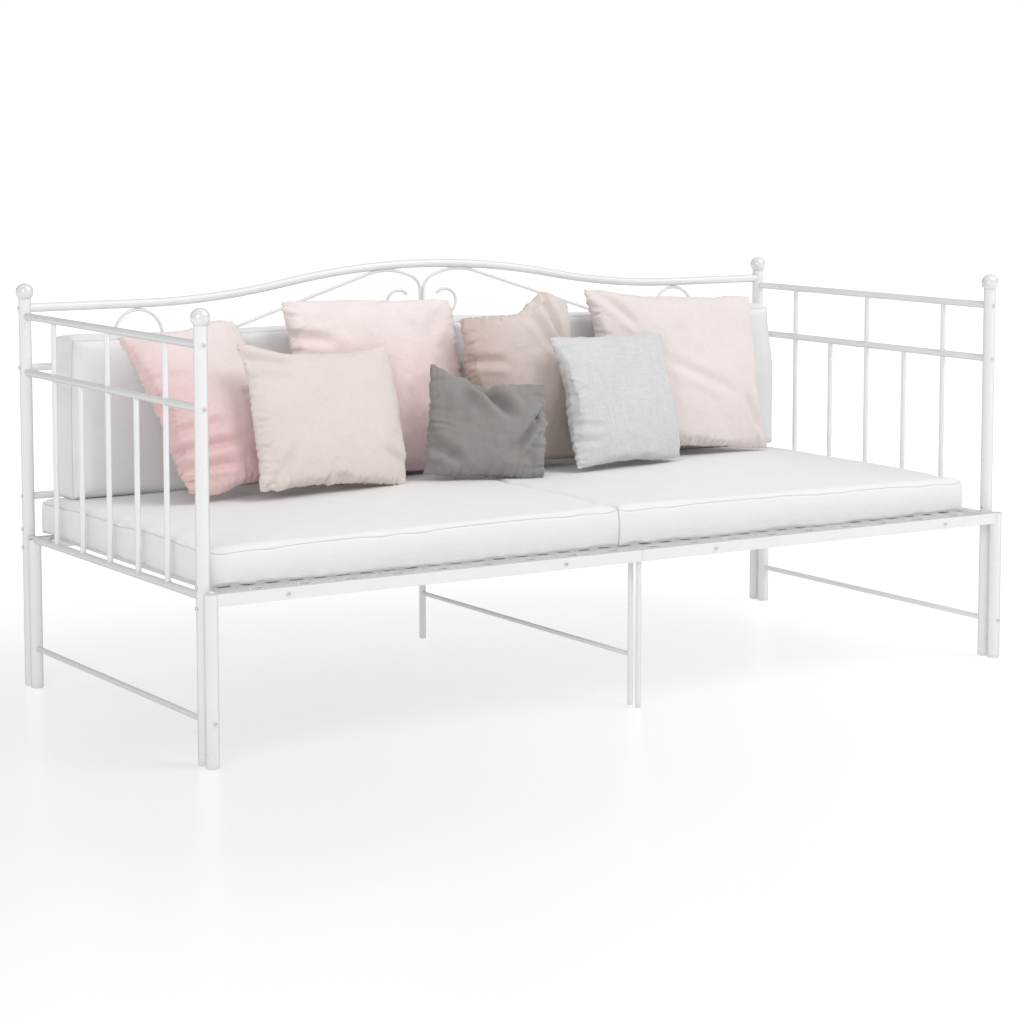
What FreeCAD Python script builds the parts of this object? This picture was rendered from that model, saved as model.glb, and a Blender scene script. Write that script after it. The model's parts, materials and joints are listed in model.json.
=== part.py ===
"""Extendable metal daybed with seat cushions, back cushions and throw pillows.

Millimetres. +X is the length of the bed, to the right of someone who faces it, -Y is the open
front and +Z is up. The origin lies on the floor, under the middle of the whole object.
"""
import FreeCAD, Part
import math
import os

Vector = FreeCAD.Vector
UP = Vector(0, 0, 1)

# Driving dimensions
POST_SPACING_X = 2040.0      # posts, centre to centre, along the bed
POST_SPACING_Y = 890.0       # posts, centre to centre, front to back
POST_DIAMETER = 28.0
LEG_PAIR_SPACING = 34.0      # from a post to the second leg that stands in front of it
RAIL_DIAMETER = 16.0
TOP_RAIL_DIAMETER = 20.0
SPINDLE_DIAMETER = 12.0
SCROLL_DIAMETER = 8.0
TUBE_WALL = 1.2

POST_TOP = 870.0
BALL_DIAMETER = 40.0
OVERALL_HEIGHT = 905.0
LEG_JOINT = 344.0            # an upper post stands on its leg here

# Heights of the rails' centre lines
ARM_TOP = 832.0
ARM_MIDDLE = 707.0
ARM_BOTTOM = 336.0
BACK_TOP = 850.0             # at the posts
BACK_PEAK = 919.0            # at the middle of the bed
BACK_MIDDLE = 717.0
BACK_LOWER = 429.0
BACK_CURVE_HALF = 740.0      # the top rail is straight outside this distance from the middle

# Slatted base. The pull-out rail stands as high as the tops of the slats.
BED_RAIL_DEPTH = 20.0
FIXED_RAIL_TOP = 335.0
FIXED_RAIL_HEIGHT = 20.0
PULL_RAIL_HEIGHT = 25.0
PULL_RAIL_SEAM = 0.3         # between the middle of the bed and the end of each half rail
SLAT_WIDTH = 30.0
SLAT_THICKNESS = 12.0
SLAT_PITCH = 107.0
FIXED_SLATS = 18
PULL_SLATS = 19
SLIDE_GAP = 0.4              # between anything that slides and what it slides past
REAR_BAR_DEPTH = 20.0
REAR_BAR_HEIGHT = 19.0
REAR_BAR_HALF = 985.0
REAR_BAR_SETBACK = 4.0       # of the rear bar, in front of the rear pair legs' centres

# Spindles
ARM_SPINDLE_PITCH = 141.5
BACK_SPINDLES = 13

# Scrollwork between the back's top and middle rails, on the right of the middle
STEM_GAP = 0.2               # between the middle of the bed and a stem
SCROLL_TURN_HEIGHT = 852.3   # where the stem starts to curl over
SCROLL_SMALL_RADIUS = 40.0
SCROLL_LARGE_RADIUS = 170.0
SCROLL_SMALL_TURN = 65.0     # degrees
SCROLL_SLOPE = 17.5          # degrees, of its straight run down to the outside
HEART_X = 65.0
HEART_HEIGHT = 825.0
HEART_RADIUS = 31.0
HEART_START = 138.0          # degrees
HEART_END = -40.0            # degrees
ARCH_X = 747.0
ARCH_RADIUS = 60.0

# Lower bars and middle legs
SIDE_BAR_DIAMETER = 12.0
SIDE_BAR_HEIGHT = 90.0
MIDDLE_BAR_DIAMETER = 10.0
MIDDLE_BAR_HEIGHT = 112.0
FRONT_MIDDLE_LEG_DIAMETER = 12.0
BACK_MIDDLE_LEG_DIAMETER = 16.0
FOOT_HEIGHT = 10.0
FOOT_ROUNDING = 3.0
FOOT_PLUG = 18.0
FINIAL_PLUG = 14.0

# Fasteners
BOLT_DIAMETER = 6.0
BOLT_HEAD_DIAMETER = 9.0
BOLT_HEAD_HEIGHT = 3.0
BOLT_HEAD_ROUNDING = 1.8
BOLT_CLEARANCE = 0.2         # round a shank, in its hole
SOCKET_ACROSS = 4.0
SOCKET_DEPTH = 2.0
INSERT_LENGTH = 22.0
INSERT_SETBACK = 2.0         # of an insert, inside its rail's end
JOINT_BOLT_LENGTH = 26.0
BUFFER_BOLT_LENGTH = 27.0
FRONT_RAIL_BOLT_LENGTH = 21.0
FRONT_RAIL_BOLTS = (-855.0, -196.0, 196.0, 855.0)
CONNECTOR_REACH = 45.0       # of the inner sleeve, above and below the joint
CONNECTOR_WALL = 2.0
JOINT_BOLT_HEIGHTS = (314.0, 355.0)
BUFFER_HEIGHT = 92.0
BUFFER_DIAMETER = 12.0
LID_THICKNESS = 2.0

# Soft parts
SEAT_LEFT = -1000.0
SEAT_JOINT = -20.0
SEAT_RIGHT = 960.0
SEAT_FRONT = -423.0
SEAT_BACK = 442.0
SEAT_THICKNESS = 84.0
BACK_LEFT = -962.0
BACK_RIGHT = 988.0
BACK_CUSHION_THICKNESS = 110.0
BACK_CUSHION_TOP = 795.0
CUSHION_GAP = 1.0
CUSHION_CORNER = 24.0
CUSHION_EDGE = 16.0
PILLOW_SECTIONS = ((-0.5, 0.52), (-0.28, 0.86), (0.0, 1.0), (0.28, 0.86), (0.5, 0.52))

# Worked out
HALF_LENGTH = POST_SPACING_X / 2
POST_RADIUS = POST_DIAMETER / 2
FRONT_OVERHANG = LEG_PAIR_SPACING + POST_RADIUS + BOLT_HEAD_HEIGHT
OVERALL_DEPTH = POST_SPACING_Y + FRONT_OVERHANG + BALL_DIAMETER / 2
BACK_Y = OVERALL_DEPTH / 2 - BALL_DIAMETER / 2
FRONT_Y = BACK_Y - POST_SPACING_Y
REAR_PAIR_Y = BACK_Y - LEG_PAIR_SPACING
PULL_Y = FRONT_Y - LEG_PAIR_SPACING
PULL_MIDDLE_LEG_Y = PULL_Y + BED_RAIL_DEPTH / 2 - FRONT_MIDDLE_LEG_DIAMETER / 2
REAR_BAR_Y = REAR_PAIR_Y - REAR_BAR_SETBACK
FIXED_RAIL_BOTTOM = FIXED_RAIL_TOP - FIXED_RAIL_HEIGHT
PULL_SLAT_BOTTOM = FIXED_RAIL_TOP + SLIDE_GAP
SLAT_TOP = FIXED_RAIL_TOP + SLAT_THICKNESS
PULL_TOP = SLAT_TOP - SLIDE_GAP
PULL_RAIL_BOTTOM = PULL_TOP - PULL_RAIL_HEIGHT
SIDES = (("left", -1), ("right", 1))
TINY = 1e-6

# Pillows: name, middle x y z, width, height, thickness, turn about the vertical, lean back, tilt
PILLOWS = (
    ("pillow_rose", (-678, 222, 634), 320, 402, 84, 8, 26, -9),
    ("pillow_cream", (-430, 145, 598), 400, 322, 84, 10, 16, 3),
    ("pillow_pale_pink", (-236, 277, 640), 438, 409, 86, 1.5, 9, 1.3),
    ("pillow_grey", (-33, 108, 552), 277, 225, 76, -20, 13, 4),
    ("pillow_sand", (142, 230, 627), 337, 371, 86, 7, 5, -3),
    ("pillow_grey_linen", (369, 149, 591), 372, 313, 82, 13, 15.5, 2),
    ("pillow_blush", (629, 273, 639), 494, 397, 84, 1, 13, 3.3),
)


def rod(start, end, diameter):
    """Solid round bar between two points."""
    axis = end - start
    return Part.makeCylinder(diameter / 2, axis.Length, start, axis)


def tube(start, end, diameter, wall=TUBE_WALL):
    """Hollow round tube between two points."""
    return rod(start, end, diameter).cut(rod(start, end, diameter - 2 * wall))


def box_tube(low, high, wall=TUBE_WALL):
    """Rectangular tube that runs along X between two corners."""
    size = high - low
    outer = Part.makeBox(size.x, size.y, size.z, low)
    inset = Vector(0, wall, wall)
    return outer.cut(Part.makeBox(size.x, size.y - 2 * wall, size.z - 2 * wall, low + inset))


def upright(x, y, bottom, top, diameter):
    """Solid vertical cylinder, used to shape what meets a post."""
    return rod(Vector(x, y, bottom), Vector(x, y, top), diameter)


def post_cutter(x, y):
    """The outside of a post, at its full height."""
    return upright(x, y, 0, POST_TOP, POST_DIAMETER)


def swept_rod(edges, diameter):
    """Round bar along a flat path of tangent lines and arcs."""
    path = Part.Wire(edges)
    first = path.OrderedEdges[0]
    start = path.OrderedVertexes[0].Point
    at_start = (first.valueAt(first.FirstParameter) - start).Length < TINY
    parameter = first.FirstParameter if at_start else first.LastParameter
    profile = Part.Wire([Part.makeCircle(diameter / 2, start, first.tangentAt(parameter))])
    return path.makePipeShell([profile], True, False)


def mirror_x(shape):
    """The same piece on the other side of the middle."""
    return shape.mirror(Vector(0, 0, 0), Vector(1, 0, 0))


def for_side(shape, side):
    """A piece that is modelled on the right, placed on its own side."""
    return shape if side > 0 else mirror_x(shape)


# Bolts are listed first, because the posts are drilled for them.

def bolt_places():
    """Surface point and inward axis of each bolt through a fixed post or leg."""
    places = []
    for _, side in SIDES:
        x = side * HALF_LENGTH
        outer = x + side * POST_RADIUS
        inward = Vector(-side, 0, 0)
        for z in (BACK_TOP, BACK_MIDDLE, BACK_LOWER):
            places.append((Vector(outer, BACK_Y, z), inward))
        for z in JOINT_BOLT_HEIGHTS:
            places.append((Vector(outer, BACK_Y, z), inward))
            places.append((Vector(outer, FRONT_Y, z), inward))
        for z in (ARM_TOP, ARM_MIDDLE):
            places.append((Vector(x, FRONT_Y - POST_RADIUS, z), Vector(0, 1, 0)))
            places.append((Vector(x, BACK_Y + POST_RADIUS, z), Vector(0, -1, 0)))
    return places


def rail_bolt_places():
    """The bolts of bolt_places that hold a rail's end."""
    return [(point, axis) for point, axis in bolt_places() if point.z > ARM_BOTTOM + POST_DIAMETER]


def bolt(point, axis, length):
    """Button-head bolt with a hexagon socket, seated on a surface at point."""
    radius = BOLT_HEAD_DIAMETER / 2
    head = Part.makeCylinder(radius, BOLT_HEAD_HEIGHT, point - axis * BOLT_HEAD_HEIGHT, axis)
    rim = [edge for edge in head.Edges
           if abs((edge.CenterOfMass - point).dot(axis) + BOLT_HEAD_HEIGHT) < TINY]
    head = head.makeFillet(BOLT_HEAD_ROUNDING, rim)
    shank = Part.makeCylinder(BOLT_DIAMETER / 2, length, point, axis)
    corners = []
    across = axis.cross(UP)
    over = axis.cross(across)
    reach = SOCKET_ACROSS / 2 / math.cos(math.pi / 6)
    mouth = point - axis * BOLT_HEAD_HEIGHT
    for step in range(7):
        angle = math.pi / 3 * step
        corners.append(mouth + across * (reach * math.cos(angle)) + over * (reach * math.sin(angle)))
    socket = Part.Face(Part.makePolygon(corners)).extrude(axis * SOCKET_DEPTH)
    return head.fuse(shank).cut(socket).removeSplitter()


def drill(shape, places, depth=POST_DIAMETER + 2):
    """Cut the bolt holes that pass through a post or leg."""
    for point, axis in places:
        if shape.BoundBox.isInside(point + axis * POST_RADIUS):
            hole = Part.makeCylinder(BOLT_DIAMETER / 2 + BOLT_CLEARANCE, depth, point - axis, axis)
            shape = shape.cut(hole)
    return shape


def spanning_rail(start, end, diameter, cutters):
    """Tube between two posts, with its ends shaped to sit on them."""
    rail = tube(start, end, diameter)
    for cutter in cutters:
        rail = rail.cut(cutter)
    return keep_largest(rail)


def keep_largest(shape):
    return max(shape.Solids, key=lambda solid: solid.Volume)


# Fixed frame

def posts_and_legs():
    parts = {}
    for row, y in (("back", BACK_Y), ("front", FRONT_Y)):
        for name, side in SIDES:
            x = side * HALF_LENGTH
            post = tube(Vector(x, y, LEG_JOINT), Vector(x, y, POST_TOP), POST_DIAMETER)
            leg = tube(Vector(x, y, FOOT_HEIGHT), Vector(x, y, LEG_JOINT), POST_DIAMETER)
            parts[f"{row}_post_{name}"] = drill(post, bolt_places())
            parts[f"{row}_leg_{name}"] = drill(leg, bolt_places())
    return parts


def arm_rail(side, height):
    x = side * HALF_LENGTH
    cutters = [post_cutter(x, BACK_Y), post_cutter(x, FRONT_Y)]
    return spanning_rail(Vector(x, FRONT_Y, height), Vector(x, BACK_Y, height), RAIL_DIAMETER, cutters)


def rear_pair_leg(side):
    """Second leg, in front of the back leg, shaped to carry the arm's bottom rail."""
    x = side * HALF_LENGTH
    leg = tube(Vector(x, REAR_PAIR_Y, FOOT_HEIGHT), Vector(x, REAR_PAIR_Y, ARM_BOTTOM), POST_DIAMETER)
    seat = rod(Vector(x, FRONT_Y, ARM_BOTTOM), Vector(x, BACK_Y, ARM_BOTTOM), RAIL_DIAMETER)
    return keep_largest(leg.cut(seat))


def side_bar(side):
    x = side * HALF_LENGTH
    start = Vector(x, FRONT_Y, SIDE_BAR_HEIGHT)
    end = Vector(x, REAR_PAIR_Y, SIDE_BAR_HEIGHT)
    cutters = [post_cutter(x, FRONT_Y), post_cutter(x, REAR_PAIR_Y)]
    return spanning_rail(start, end, SIDE_BAR_DIAMETER, cutters)


def arm_spindles(side):
    """Three long and two short spindles, cut where they meet the arm's rails."""
    x = side * HALF_LENGTH
    middle_y = (FRONT_Y + BACK_Y) / 2
    rails = [rod(Vector(x, FRONT_Y, z), Vector(x, BACK_Y, z), RAIL_DIAMETER)
             for z in (ARM_TOP, ARM_MIDDLE, ARM_BOTTOM)]
    pieces = []
    for place in range(-2, 3):
        y = middle_y + place * ARM_SPINDLE_PITCH
        spans = [(ARM_BOTTOM, ARM_MIDDLE)]
        if place % 2 == 0:
            spans.append((ARM_MIDDLE, ARM_TOP))
        for bottom, top in spans:
            piece = tube(Vector(x, y, bottom), Vector(x, y, top), SPINDLE_DIAMETER)
            for rail in rails:
                piece = piece.cut(rail)
            pieces.append(keep_largest(piece))
    return Part.makeCompound(pieces)


def back_rail(height):
    cutters = [post_cutter(-HALF_LENGTH, BACK_Y), post_cutter(HALF_LENGTH, BACK_Y)]
    start = Vector(-HALF_LENGTH, BACK_Y, height)
    end = Vector(HALF_LENGTH, BACK_Y, height)
    return spanning_rail(start, end, RAIL_DIAMETER, cutters)


def top_rail_edges():
    """Centre line of the right half: straight, then two equal arcs up to the peak."""
    rise = BACK_PEAK - BACK_TOP
    half = BACK_CURVE_HALF / 2
    radius = (half ** 2 + (rise / 2) ** 2) / rise
    angle = math.asin(half / radius)
    lower = Vector(BACK_CURVE_HALF, BACK_Y, BACK_TOP + radius)
    upper = Vector(0, BACK_Y, BACK_PEAK - radius)
    bend = Vector(math.sin(angle / 2), 0, math.cos(angle / 2))
    end = Vector(HALF_LENGTH, BACK_Y, BACK_TOP)
    straight = Vector(BACK_CURVE_HALF, BACK_Y, BACK_TOP)
    middle = Vector(half, BACK_Y, (BACK_TOP + BACK_PEAK) / 2)
    peak = Vector(0, BACK_Y, BACK_PEAK)
    low_middle = lower + Vector(-bend.x, 0, -bend.z) * radius
    high_middle = upper + bend * radius
    return [
        Part.LineSegment(end, straight).toShape(),
        Part.Arc(straight, low_middle, middle).toShape(),
        Part.Arc(middle, high_middle, peak).toShape(),
    ]


def top_rail_solid(diameter):
    return swept_rod(top_rail_edges(), diameter)


def back_top_rail():
    """Right half of the curved top rail."""
    rail = top_rail_solid(TOP_RAIL_DIAMETER).cut(top_rail_solid(TOP_RAIL_DIAMETER - 2 * TUBE_WALL))
    return keep_largest(rail.cut(post_cutter(HALF_LENGTH, BACK_Y)))


def back_spindles():
    """Spindles between the back's middle and lower rails, behind the cushions."""
    pitch = POST_SPACING_X / (BACK_SPINDLES + 1)
    rails = [rod(Vector(-HALF_LENGTH, BACK_Y, z), Vector(HALF_LENGTH, BACK_Y, z), RAIL_DIAMETER)
             for z in (BACK_MIDDLE, BACK_LOWER)]
    pieces = []
    for place in range(BACK_SPINDLES):
        x = (place - (BACK_SPINDLES - 1) / 2) * pitch
        piece = tube(Vector(x, BACK_Y, BACK_LOWER), Vector(x, BACK_Y, BACK_MIDDLE), SPINDLE_DIAMETER)
        for rail in rails:
            piece = piece.cut(rail)
        pieces.append(keep_largest(piece))
    return Part.makeCompound(pieces)


# Scrollwork, modelled on the right

def turn_point(centre, radius, degrees):
    angle = math.radians(degrees)
    return centre + Vector(math.cos(angle), 0, math.sin(angle)) * radius


def arc(centre, radius, start, end):
    """Arc in the back's plane between two angles, in degrees from +X towards +Z."""
    points = [turn_point(centre, radius, angle) for angle in (start, (start + end) / 2, end)]
    return Part.Arc(*points).toShape()


def line(start, end):
    return Part.LineSegment(start, end).toShape()


def main_scroll():
    """Rises beside the middle, curls over under the top rail and slopes down to the outside."""
    stem_x = SCROLL_DIAMETER / 2 + STEM_GAP
    small = Vector(stem_x + SCROLL_SMALL_RADIUS, BACK_Y, SCROLL_TURN_HEIGHT)
    meeting = turn_point(small, SCROLL_SMALL_RADIUS, 180 - SCROLL_SMALL_TURN)
    large = meeting - (meeting - small) * (SCROLL_LARGE_RADIUS / SCROLL_SMALL_RADIUS)
    leaving = turn_point(large, SCROLL_LARGE_RADIUS, 90 - SCROLL_SLOPE)
    slope = math.radians(SCROLL_SLOPE)
    run = (leaving.z - BACK_MIDDLE) / math.sin(slope)
    foot = leaving + Vector(math.cos(slope), 0, -math.sin(slope)) * run
    edges = [
        line(Vector(stem_x, BACK_Y, BACK_MIDDLE), Vector(stem_x, BACK_Y, SCROLL_TURN_HEIGHT)),
        arc(small, SCROLL_SMALL_RADIUS, 180, 180 - SCROLL_SMALL_TURN),
        arc(large, SCROLL_LARGE_RADIUS, 180 - SCROLL_SMALL_TURN, 90 - SCROLL_SLOPE),
        line(leaving, foot),
    ]
    scroll = swept_rod(edges, SCROLL_DIAMETER).cut(back_rail_cutter(BACK_MIDDLE))
    scroll = keep_largest(scroll).cut(arch_solid())
    return keep_largest(scroll.cut(top_rail_solid(TOP_RAIL_DIAMETER)))


def heart_scroll():
    """Small curl inside the main scroll, with its foot on the middle rail."""
    centre = Vector(HEART_X, BACK_Y, HEART_HEIGHT)
    leaving = turn_point(centre, HEART_RADIUS, HEART_END)
    end = math.radians(HEART_END)
    down = Vector(math.sin(end), 0, -math.cos(end))
    run = (leaving.z - BACK_MIDDLE) / -down.z
    edges = [arc(centre, HEART_RADIUS, HEART_START, HEART_END), line(leaving, leaving + down * run)]
    return keep_largest(swept_rod(edges, SCROLL_DIAMETER).cut(back_rail_cutter(BACK_MIDDLE)))


def arch_solid():
    """Hoop that stands on the middle rail and touches the top rail."""
    apex = BACK_TOP - TOP_RAIL_DIAMETER / 2 - SCROLL_DIAMETER / 2
    centre = Vector(ARCH_X, BACK_Y, apex - ARCH_RADIUS)
    left = Vector(ARCH_X - ARCH_RADIUS, BACK_Y, BACK_MIDDLE)
    right = Vector(ARCH_X + ARCH_RADIUS, BACK_Y, BACK_MIDDLE)
    edges = [
        line(left, turn_point(centre, ARCH_RADIUS, 180)),
        arc(centre, ARCH_RADIUS, 180, 0),
        line(turn_point(centre, ARCH_RADIUS, 0), right),
    ]
    return swept_rod(edges, SCROLL_DIAMETER)


def scroll_arch():
    arch = arch_solid().cut(back_rail_cutter(BACK_MIDDLE))
    return keep_largest(arch.cut(top_rail_solid(TOP_RAIL_DIAMETER)))


def back_rail_cutter(height):
    return rod(Vector(-HALF_LENGTH, BACK_Y, height), Vector(HALF_LENGTH, BACK_Y, height), RAIL_DIAMETER)


# Slatted base

def fixed_bed_rail(y):
    """Rectangular rail between two legs."""
    low = Vector(-HALF_LENGTH, y - BED_RAIL_DEPTH / 2, FIXED_RAIL_BOTTOM)
    high = Vector(HALF_LENGTH, y + BED_RAIL_DEPTH / 2, FIXED_RAIL_TOP)
    rail = box_tube(low, high)
    for _, side in SIDES:
        rail = rail.cut(post_cutter(side * HALF_LENGTH, y))
    return keep_largest(rail)


def slat(x, front, back, bottom, top):
    """Steel channel, open below, that runs from front to back."""
    low = Vector(x - SLAT_WIDTH / 2, front, bottom)
    outer = Part.makeBox(SLAT_WIDTH, back - front, top - bottom, low)
    inner = Part.makeBox(SLAT_WIDTH - 2 * TUBE_WALL, back - front, top - bottom - TUBE_WALL,
                         low + Vector(TUBE_WALL, 0, 0))
    return outer.cut(inner)


def slat_row(count, front, back, bottom, top):
    places = [(index - (count - 1) / 2) * SLAT_PITCH for index in range(count)]
    return Part.makeCompound([slat(x, front, back, bottom, top) for x in places])


def fixed_slats():
    front = FRONT_Y - BED_RAIL_DEPTH / 2
    back = BACK_Y + BED_RAIL_DEPTH / 2
    return slat_row(FIXED_SLATS, front, back, FIXED_RAIL_TOP, SLAT_TOP)


def middle_leg(y, top, diameter):
    return tube(Vector(0, y, FOOT_HEIGHT), Vector(0, y, top), diameter)


def middle_bar():
    """Low bar that joins the two fixed middle legs."""
    cutters = [upright(0, FRONT_Y, 0, FIXED_RAIL_TOP, FRONT_MIDDLE_LEG_DIAMETER),
               upright(0, BACK_Y, 0, FIXED_RAIL_TOP, BACK_MIDDLE_LEG_DIAMETER)]
    start = Vector(0, FRONT_Y, MIDDLE_BAR_HEIGHT)
    end = Vector(0, BACK_Y, MIDDLE_BAR_HEIGHT)
    return spanning_rail(start, end, MIDDLE_BAR_DIAMETER, cutters)


# Pull-out frame, modelled where it stands when it is pushed in

def pull_out_leg(side):
    x = side * HALF_LENGTH
    leg = tube(Vector(x, PULL_Y, FOOT_HEIGHT), Vector(x, PULL_Y, PULL_TOP - LID_THICKNESS), POST_DIAMETER)
    return drill(leg, [(Vector(x, PULL_Y - POST_RADIUS, BUFFER_HEIGHT), Vector(0, 1, 0))])


def pull_out_rail():
    """Right half of the front rail."""
    low = Vector(PULL_RAIL_SEAM, PULL_Y - BED_RAIL_DEPTH / 2, PULL_RAIL_BOTTOM)
    high = Vector(HALF_LENGTH, PULL_Y + BED_RAIL_DEPTH / 2, PULL_TOP)
    rail = box_tube(low, high)
    for point, axis in front_rail_bolt_places():
        if point.x > 0:
            radius = BOLT_DIAMETER / 2 + BOLT_CLEARANCE
            rail = rail.cut(Part.makeCylinder(radius, BED_RAIL_DEPTH + 2, point - axis, axis))
    return keep_largest(rail.cut(post_cutter(HALF_LENGTH, PULL_Y)))


def front_rail_bolt_places():
    front = PULL_Y - BED_RAIL_DEPTH / 2
    height = PULL_TOP - PULL_RAIL_HEIGHT / 2
    return [(Vector(x, front, height), Vector(0, 1, 0)) for x in FRONT_RAIL_BOLTS]


def pull_out_slats():
    """Slats from the back of the front rail to the rear bar, over the fixed front rail."""
    front = PULL_Y + BED_RAIL_DEPTH / 2
    back = REAR_BAR_Y + REAR_BAR_DEPTH / 2
    return slat_row(PULL_SLATS, front, back, PULL_SLAT_BOTTOM, PULL_TOP)


def pull_out_rear_bar():
    """Rectangular tube under the slats' rear ends, with a low pad under each slat."""
    top = FIXED_RAIL_TOP - SLIDE_GAP
    low = Vector(-REAR_BAR_HALF, REAR_BAR_Y - REAR_BAR_DEPTH / 2, top - REAR_BAR_HEIGHT)
    bar = box_tube(low, Vector(REAR_BAR_HALF, REAR_BAR_Y + REAR_BAR_DEPTH / 2, top))
    pads = []
    for index in range(PULL_SLATS):
        x = (index - (PULL_SLATS - 1) / 2) * SLAT_PITCH
        corner = Vector(x - SLAT_WIDTH / 2, low.y, top)
        pads.append(Part.makeBox(SLAT_WIDTH, REAR_BAR_DEPTH, PULL_SLAT_BOTTOM - top, corner))
    return bar.fuse(pads).removeSplitter()


# Small pieces

def finials():
    """Ball on each post, with a plug that goes into the tube."""
    centre_height = OVERALL_HEIGHT - BALL_DIAMETER / 2
    pieces = []
    for y in (BACK_Y, FRONT_Y):
        for _, side in SIDES:
            x = side * HALF_LENGTH
            ball = Part.makeSphere(BALL_DIAMETER / 2, Vector(x, y, centre_height))
            ball = ball.cut(upright(x, y, 0, POST_TOP, BALL_DIAMETER + 2))
            plug = upright(x, y, POST_TOP - FINIAL_PLUG, POST_TOP, POST_DIAMETER - 2 * TUBE_WALL)
            pieces.append(ball.fuse(plug).removeSplitter())
    return Part.makeCompound(pieces)


def foot_cap(x, y, diameter):
    """Plastic foot with a rounded rim and a plug that goes up into its tube."""
    base = upright(x, y, 0, FOOT_HEIGHT, diameter)
    rim = [edge for edge in base.Edges if abs(edge.CenterOfMass.z) < TINY and edge.Length > diameter]
    base = base.makeFillet(FOOT_ROUNDING, rim)
    plug = upright(x, y, FOOT_HEIGHT, FOOT_HEIGHT + FOOT_PLUG, diameter - 2 * TUBE_WALL)
    return base.fuse(plug).removeSplitter()


def fixed_feet():
    caps = []
    for _, side in SIDES:
        for y in (BACK_Y, REAR_PAIR_Y, FRONT_Y):
            caps.append(foot_cap(side * HALF_LENGTH, y, POST_DIAMETER))
    caps.append(foot_cap(0, FRONT_Y, FRONT_MIDDLE_LEG_DIAMETER))
    caps.append(foot_cap(0, BACK_Y, BACK_MIDDLE_LEG_DIAMETER))
    return Part.makeCompound(caps)


def tube_connectors():
    """Inner sleeves at the leg joints, and the threaded inserts in the rails' ends."""
    bore = POST_DIAMETER - 2 * TUBE_WALL
    pieces = []
    for y in (BACK_Y, FRONT_Y):
        for _, side in SIDES:
            x = side * HALF_LENGTH
            sleeve = tube(Vector(x, y, LEG_JOINT - CONNECTOR_REACH),
                          Vector(x, y, LEG_JOINT + CONNECTOR_REACH), bore, CONNECTOR_WALL)
            pieces.append(drill(sleeve, bolt_places()))
    for point, axis in rail_bolt_places():
        rail_diameter = TOP_RAIL_DIAMETER if point.z == BACK_TOP else RAIL_DIAMETER
        rail_bore = rail_diameter - 2 * TUBE_WALL
        start = point + axis * (POST_DIAMETER + INSERT_SETBACK)
        end = start + axis * INSERT_LENGTH
        pieces.append(tube(start, end, rail_bore, (rail_bore - BOLT_DIAMETER) / 2))
    return Part.makeCompound(pieces)


def frame_bolts():
    pieces = []
    for point, axis in bolt_places():
        length = POST_DIAMETER + INSERT_SETBACK + INSERT_LENGTH
        if point.z < ARM_BOTTOM + POST_DIAMETER:
            length = JOINT_BOLT_LENGTH
        pieces.append(bolt(point, axis, length))
    return Part.makeCompound(pieces)


def pull_out_caps():
    """Feet, leg tops and the two buffers that meet the front legs."""
    caps = [foot_cap(0, PULL_MIDDLE_LEG_Y, FRONT_MIDDLE_LEG_DIAMETER)]
    for _, side in SIDES:
        x = side * HALF_LENGTH
        caps.append(foot_cap(x, PULL_Y, POST_DIAMETER))
        lid = upright(x, PULL_Y, PULL_TOP - LID_THICKNESS, PULL_TOP, POST_DIAMETER)
        plug_top = PULL_TOP - LID_THICKNESS
        plug = upright(x, PULL_Y, plug_top - FOOT_PLUG, plug_top, POST_DIAMETER - 2 * TUBE_WALL)
        caps.append(lid.fuse(plug).removeSplitter())
        back = Vector(x, FRONT_Y - POST_RADIUS - SLIDE_GAP, BUFFER_HEIGHT)
        buffer = rod(Vector(x, PULL_Y, BUFFER_HEIGHT), back, BUFFER_DIAMETER)
        caps.append(keep_largest(buffer.cut(post_cutter(x, PULL_Y))))
    return Part.makeCompound(caps)


def pull_out_bolts():
    pieces = []
    for _, side in SIDES:
        point = Vector(side * HALF_LENGTH, PULL_Y - POST_RADIUS, BUFFER_HEIGHT)
        pieces.append(bolt(point, Vector(0, 1, 0), BUFFER_BOLT_LENGTH))
    for point, axis in front_rail_bolt_places():
        pieces.append(bolt(point, axis, FRONT_RAIL_BOLT_LENGTH))
    return Part.makeCompound(pieces)


# Soft parts

def cushion(low, high):
    """Block with rounded corners."""
    size = high - low
    block = Part.makeBox(size.x, size.y, size.z, low)
    standing = [item for item in block.Edges if abs(item.tangentAt(0).z) > 0.5]
    block = block.makeFillet(CUSHION_CORNER, standing)
    faces = [face for face in block.Faces if abs(face.normalAt(0, 0).z) > 0.99]
    rims = [item for face in faces for item in face.Edges]
    return block.makeFillet(CUSHION_EDGE, rims)


def seat_cushion(left, right):
    return cushion(Vector(left, SEAT_FRONT, SLAT_TOP), Vector(right, SEAT_BACK, SLAT_TOP + SEAT_THICKNESS))


def back_cushion(left, right):
    back = BACK_Y - RAIL_DIAMETER / 2 - CUSHION_GAP
    low = Vector(left, back - BACK_CUSHION_THICKNESS, SLAT_TOP + SEAT_THICKNESS)
    return cushion(low, Vector(right, back, BACK_CUSHION_TOP))


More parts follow.
